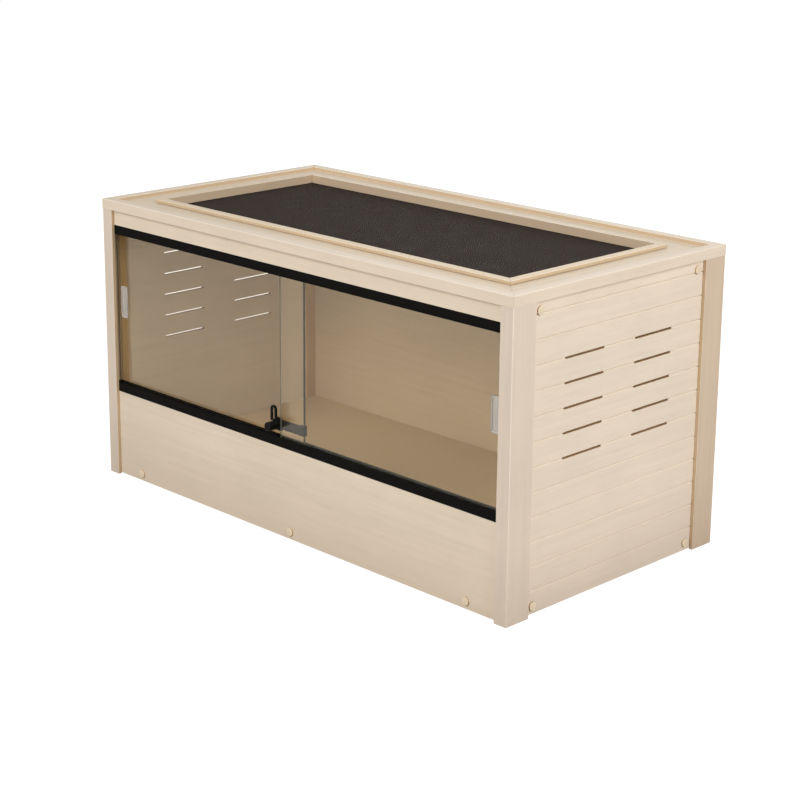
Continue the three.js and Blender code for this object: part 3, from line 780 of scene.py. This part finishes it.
@dataclass
class Carcass:
    """Posts, boards, top frame, floor and battens."""

    post_edge: float = 0.4 * MM
    board_edge: float = 0.3 * MM
    frame_edge: float = 0.3 * MM
    recess_depth: float = 4.0 * MM
    wall_margin: float = 15.0 * MM
    groove_tilt: Span = (-0.95, -0.3)  # part of Z in the normal of a groove's upper face
    groove_end: float = 0.1
    vent_tilt: float = 0.2

    def build(self) -> None:
        """Makes every eased board, post and rail."""
        for side in ("left", "right"):
            for end, finish in (("front", PAINTED_LIT_POST), ("rear", PAINTED_SHADED_POST)):
                self._post(end, side, finish)
            self._side_wall(side)
            self._add(f"floor_batten_{side}", "batten", SAWN_BATTEN, GrainRun.ALONG_Y, self.board_edge)
            self._add(f"top_batten_{side}", "batten", SAWN_BATTEN, GrainRun.ALONG_Y, self.board_edge)
            self._top_rail(side, GrainRun.ALONG_Y)
        for end in ("front", "rear"):
            self._add(f"floor_batten_{end}", "batten", SAWN_BATTEN, GrainRun.ALONG_X, self.board_edge)
            self._top_rail(end, GrainRun.ALONG_X)
        for node, finish in (
            ("lower_front_board", FRONT_BOARD), ("header_board", FRONT_BOARD), ("rear_panel", SHADED_REAR_BOARD),
        ):
            self._add(node, "wall_board", finish, GrainRun.ALONG_X, self.board_edge)
        self._add("floor_board", "floor", FLOOR_BOARD, GrainRun.ALONG_X, self.board_edge)

    def _add(
        self, node: str, slot: str, finish: BoardFinish, run: GrainRun, width: float,
    ) -> bpy.types.Object:
        """Makes one piece of the carcass.

        Args:
            node: The solid it stands for.
            slot: The record's material slot.
            finish: Its finish.
            run: The way its grain runs.
            width: Width of its rounded edges.

        Returns:
            The piece.
        """
        return Bench.eased_solid(node, "cabinet", slot, finish.material(run), width)

    def _side_wall(self, side: str) -> None:
        """Makes a side wall, with painted shade on the upper face of each groove, and browner inside the
        vents.

        Args:
            side: The side that it closes.
        """
        run = GrainRun.ALONG_Y
        node = f"side_panel_{side}"
        wall = self._add(node, "wall_board", WALL_BOARD, run, 0.0)
        # painted shade on the upper face of each groove, which faces down
        Bench.add_finish(
            wall, GROOVE_SHADE.material(run),
            lambda face: self.groove_tilt[0] < face.normal.z < self.groove_tilt[1]
            and abs(face.normal.y) < self.groove_end,
        )
        low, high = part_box(node)

        def within(centre: Vector) -> bool:
            """Tells whether a place is well inside the wall's outline.

            Args:
                centre: The place.

            Returns:
                Whether it is farther than the margin from each outer edge.
            """
            margin = self.wall_margin
            return all(low[axis] + margin < centre[axis] < high[axis] - margin for axis in (1, 2))

        Bench.add_finish(
            wall, VENT_INSIDE.material(run),
            lambda face: abs(face.normal.x) < self.vent_tilt and within(face.center),
        )

    def _post(self, end: str, side: str, finish: BoardFinish) -> None:
        """Makes a corner post, with painted shade, darker and browner, on the flanks that stand out of the
        boards.

        Args:
            end: Front or rear.
            side: Left or right.
            finish: Its finish.
        """
        run = GrainRun.ALONG_Z
        post = self._add(f"post_{end}_{side}", "post_extrusion", finish, run, self.post_edge)
        inwards = Vector((1.0 if side == "left" else -1.0, 1.0 if end == "front" else -1.0, 0.0))
        Bench.add_finish(
            post, POST_FLANK_SHADE.material(run),
            lambda face: face.normal.dot(inwards) > FACING,
        )

    def _top_rail(self, side: str, run: GrainRun) -> None:
        """Makes a rail of the top frame, with painted shade, browner, on the floor and sides of its recess.

        Args:
            side: The side of the frame that it lies on.
            run: The way its grain runs.
        """
        rail = self._add(f"top_rail_{side}", "wall_board", FRAME_BOARD, run, self.frame_edge)
        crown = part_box(f"top_rail_{side}")[1].z
        floor = crown - self.recess_depth
        Bench.add_finish(
            rail, FRAME_RECESS_SHADE.material(run),
            lambda face: face.normal.z > FACING and face.center.z < floor,
        )
        Bench.add_finish(
            rail, FRAME_INSIDE_SHADE.material(run),
            lambda face: abs(face.normal.z) < EDGE_ON
            and face.center.z > floor - self.recess_depth
            and face.normal.xy.dot(face.center.xy) < 0.0,
        )


@dataclass
class ScrewCovers:
    """Domed covers over the wall screws."""

    rim_edge: float = 0.2 * MM
    least_angle: float = 40.0

    def build(self) -> None:
        """Makes the cover of each solid."""
        for node in sorted(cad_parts):
            if node.startswith("cap_"):
                self._cover(node)

    def _cover(self, node: str) -> None:
        """Makes one cover, with painted shade, browner, round its rim.

        Args:
            node: The solid it stands for.
        """
        cover = Bench.eased_solid(
            node, "cabinet", "screw_cap", SCREW_COVER.material(), self.rim_edge,
            angle=self.least_angle,
        )
        across = 1 if node.startswith(("cap_front", "cap_rear")) else 0
        Bench.add_finish(cover, COVER_RIM_SHADE.material(), lambda face: abs(face.normal[across]) < EDGE_ON)


@dataclass
class GlassFront:
    """Tracks, the two panes and their finger pulls."""

    track_edge: float = 0.25 * MM
    pull_edge: float = 0.3 * MM
    pull_steps: int = 3
    pane_face: float = 0.99  # least part of Y in the normal of a pane's clear face

    def build(self) -> None:
        """Makes the tracks, panes and pulls."""
        for node in ("track_lower", "track_upper"):
            Bench.eased_solid(node, "cabinet", "track", TRACK.material(), self.track_edge)
        for side in ("outer", "inner"):
            self._pane(f"glass_pane_{side}", f"{side}_pane")
            pull = f"finger_pull_{side}"
            Bench.eased_solid(
                pull, f"{side}_pane", "pull", PULL_PLASTIC.material(), self.pull_edge, self.pull_steps,
            )

    def _pane(self, node: str, body: str) -> None:
        """Makes a pane with clear faces and ground edges.

        Args:
            node: The solid it stands for.
            body: The body it rides on.
        """
        piece = Bench.copy_of(node, f"{node}_ground")
        edge = SHADED_EDGE if body == "inner_pane" else GROUND_EDGE
        Bench.dress(piece, PANE_GLASS.material(), edge.material())
        for face in piece.data.polygons:
            face.material_index = 0 if abs(face.normal.y) > self.pane_face else 1
        Bench.seat(piece, body, "pane", node)


@dataclass
class BarLock:
    """Strip, lock body and key of the lock on the glass."""

    strip_edge: float = 0.3 * MM
    body_edge: float = 0.4 * MM
    key_edge: float = 1.0 * MM
    key_steps: int = 3
    key_angle: float = 50.0

    def build(self) -> None:
        """Makes the three pieces of the lock."""
        Bench.eased_solid("lock_bar", "inner_pane", "lock_bar", COATED_BAR.material(), self.strip_edge)
        Bench.eased_solid("lock_body", "lock_body", "lock", COATED_LOCK.material(), self.body_edge)
        Bench.eased_solid(
            "lock_key", "lock_key", "lock", COATED_LOCK.material(), self.key_edge,
            self.key_steps, self.key_angle,
        )


@dataclass
class ScreenTop:
    """The lift-off screen: four mitred rails and a cloth of fine wires."""

    rail_edge: float = 0.3 * MM
    pitch: float = 1.3 * MM
    wire: float = 0.32 * MM
    weave: float = 0.7  # height between the two sets of wires, in thicknesses of a wire

    def build(self) -> None:
        """Makes the rails and the wire cloth."""
        for side, run in (("front", "X"), ("rear", "X"), ("left", "Y"), ("right", "Y")):
            grain = GrainRun[f"ALONG_{run}"]
            rail = Bench.eased_solid(
                f"screen_rail_{side}", "screen_top", "wall_board", SCREEN_BOARD.material(grain),
                self.rail_edge,
            )
            # painted shade on the upright faces of each rail, inside and outside
            Bench.add_finish(
                rail, SCREEN_INSIDE_SHADE.material(grain),
                lambda face: abs(face.normal.z) < EDGE_ON
                and face.normal.xy.dot(face.center.xy) < 0.0,
            )
            Bench.add_finish(
                rail, SCREEN_OUTSIDE_SHADE.material(grain),
                lambda face: abs(face.normal.z) < EDGE_ON
                and face.normal.xy.dot(face.center.xy) > 0.0,
            )
        self._cloth()

    def _cloth(self) -> None:
        """Makes the wires, one set along each side of the screen."""
        low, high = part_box("screen_mesh")
        sets = [self._wires(low, high, axis) for axis in (0, 1)]
        Bench.clear()
        for part in sets:
            part.select_set(True)
        bpy.context.view_layer.objects.active = sets[0]
        bpy.ops.object.join()
        cloth = sets[0]
        cloth.name = "screen_wire_cloth"
        cloth.data.name = cloth.name
        Bench.mark_edges(cloth, 0.0)
        Bench.dress(cloth, SCREEN_CLOTH.material())
        Bench.seat(cloth, "screen_top", "mesh", "screen_mesh")

    def _wires(self, low: Vector, high: Vector, axis: int) -> bpy.types.Object:
        """Makes one set of wires, side by side.

        Args:
            low: Lowest corner of the cloth.
            high: Highest corner of the cloth.
            axis: 0 for wires that run along X, 1 for wires that run along Y.

        Returns:
            The set, as one object at the origin.
        """
        across = 1 - axis
        count = int((high[across] - low[across] - self.wire) / self.pitch) + 1
        size = Vector((self.wire, self.wire, self.wire))
        size[axis] = high[axis] - low[axis]
        centre = (low + high) / 2
        centre[across] -= (count - 1) * self.pitch / 2
        centre[2] += (0.5 - axis) * self.wire * self.weave
        Bench.clear()
        bpy.ops.mesh.primitive_cube_add(size=1.0, location=centre, scale=size)
        wires = bpy.context.object
        bpy.ops.object.transform_apply(location=True, rotation=True, scale=True)
        row = wires.modifiers.new("row", "ARRAY")
        row.count = count
        row.use_relative_offset = False
        row.use_constant_offset = True
        step = Vector((0.0, 0.0, 0.0))
        step[across] = self.pitch
        row.constant_offset_displace = step
        bpy.ops.object.modifier_apply(modifier=row.name)
        return wires


# ---------------------------------------------------------------------------
# Stage
# ---------------------------------------------------------------------------


@dataclass(frozen=True)
class Lamp:
    """A soft square lamp: where it hangs, what it points at, its side and its power in watts."""

    name: str
    place: Place
    aim: Place
    size: float
    power: float

    def build(self) -> None:
        """Hangs the lamp."""
        bpy.ops.object.light_add(type="AREA", location=self.place)
        lamp = bpy.context.object
        lamp.name = self.name
        lamp.data.size = self.size
        lamp.data.energy = self.power
        lamp.rotation_mode = "QUATERNION"
        lamp.rotation_quaternion = (Vector(self.aim) - Vector(self.place)).to_track_quat("-Z", "Y")


@dataclass
class Studio:
    """Pale floor, soft lamps, white surroundings and the camera."""

    floor_size: float = 30.0
    floor_dark: Colour = (0.52, 0.49, 0.45)
    floor_pale: Colour = (0.55, 0.52, 0.48)
    floor_roughness: float = 0.9
    floor_specular: float = 0.1
    floor_scale: float = 2.0
    floor_span: Span = (0.3, 0.7)
    direct_depth: float = 0.5
    white_share: float = 0.5
    white_glow: float = 1.88
    surround: float = 0.25
    backdrop: float = 1.4
    lamps: tuple[Lamp, ...] = (
        Lamp("right", (3.1, -0.1, 1.9), (0.2, 0.0, 0.3), 2.0, 73.0),
        Lamp("front", (-0.2, -3.3, 2.3), (0.0, 0.0, 0.25), 2.4, 94.0),
        Lamp("rear_left", (-1.8, 2.7, 1.7), (0.0, 0.0, 0.25), 2.2, 34.0),
    )
    eye: Place = (2.10661, -2.09191, 1.09669)
    azimuth: float = 45.05
    elevation: float = 14.72
    roll: float = 0.53
    lens: float = 85.86
    shift: float = -0.1
    sensor: float = 36.0
    view_reach: float = 100.0

    def build(self) -> None:
        """Sets the stage up."""
        self._floor()
        self._world()
        for lamp in self.lamps:
            lamp.build()
        self._camera()
        bpy.context.scene.view_settings.view_transform = "Standard"

    def _shown_rays(self, sheet: NodeSheet) -> bpy.types.NodeSocket:
        """Finds the rays that show a surface to the camera, straight or through glass.

        Args:
            sheet: The tree to add the nodes to.

        Returns:
            A socket that is 1 for such a ray and 0 for the rest.
        """
        path = sheet.add("LightPath")
        seen = sheet.math("MAXIMUM", path.outputs["Is Camera Ray"], path.outputs["Is Transmission Ray"])
        direct = sheet.math("LESS_THAN", path.outputs["Diffuse Depth"], self.direct_depth)
        return sheet.math("MULTIPLY", seen, direct)

    def _floor(self) -> None:
        """Lays the floor, white to the camera but for the shadows on it."""
        Bench.clear()
        bpy.ops.mesh.primitive_plane_add(size=self.floor_size)
        floor = bpy.context.object
        floor.name = "studio_floor"
        material, sheet = new_material("studio_floor")
        place = sheet.add("TexCoord").outputs["Object"]
        tone = sheet.span(sheet.noise(place, self.floor_scale), *self.floor_span)
        colour = sheet.blend(tone, self.floor_dark, self.floor_pale)
        matt = sheet.add("BsdfPrincipled", {
            "Base Color": colour, "Roughness": self.floor_roughness,
            "Specular IOR Level": self.floor_specular,
        })
        glow = sheet.add("Emission", {"Color": (1.0, 1.0, 1.0), "Strength": self.white_glow})
        share = sheet.math("MULTIPLY", self._shown_rays(sheet), self.white_share)
        mixed = sheet.add("MixShader", {0: share, 1: matt.outputs[0], 2: glow.outputs[0]})
        sheet.add("OutputMaterial", {"Surface": mixed.outputs[0]})
        Bench.dress(floor, material)

    def _world(self) -> None:
        """Fills the surroundings with white, softer as a light than as a backdrop."""
        world = bpy.data.worlds.new("studio")
        world.use_nodes = True
        bpy.context.scene.world = world
        sheet = NodeSheet(world.node_tree)
        strength = sheet.span(self._shown_rays(sheet), 0.0, 1.0, self.surround, self.backdrop)
        light = sheet.add("Background", {"Color": (1.0, 1.0, 1.0), "Strength": strength})
        sheet.add("OutputWorld", {"Surface": light.outputs[0]})

    def _camera(self) -> None:
        """Puts the camera about where the photograph was taken from."""
        around = math.radians(self.azimuth)
        up = math.radians(self.elevation)
        level_part = math.cos(up)
        back = Vector((math.sin(around) * level_part, -math.cos(around) * level_part, math.sin(up)))
        bpy.ops.object.camera_add(location=self.eye)
        camera = bpy.context.object
        camera.name = "photo_camera"
        camera.rotation_mode = "QUATERNION"
        level = (-back).to_track_quat("-Z", "Y")
        camera.rotation_quaternion = Quaternion(back, math.radians(self.roll)) @ level
        camera.data.sensor_width = self.sensor
        camera.data.lens = self.lens
        camera.data.shift_y = self.shift
        camera.data.clip_end = self.view_reach
        bpy.context.scene.camera = camera


def main() -> None:
    """Builds the sub-assemblies in order, then the stage."""
    logging.basicConfig(level=logging.INFO, format="%(name)s: %(message)s")
    for part in (Carcass(), ScrewCovers(), GlassFront(), BarLock(), ScreenTop(), Studio()):
        log.info("building %s", type(part).__name__)
        part.build()
    Bench.clear()


if __name__ == "__main__":
    main()
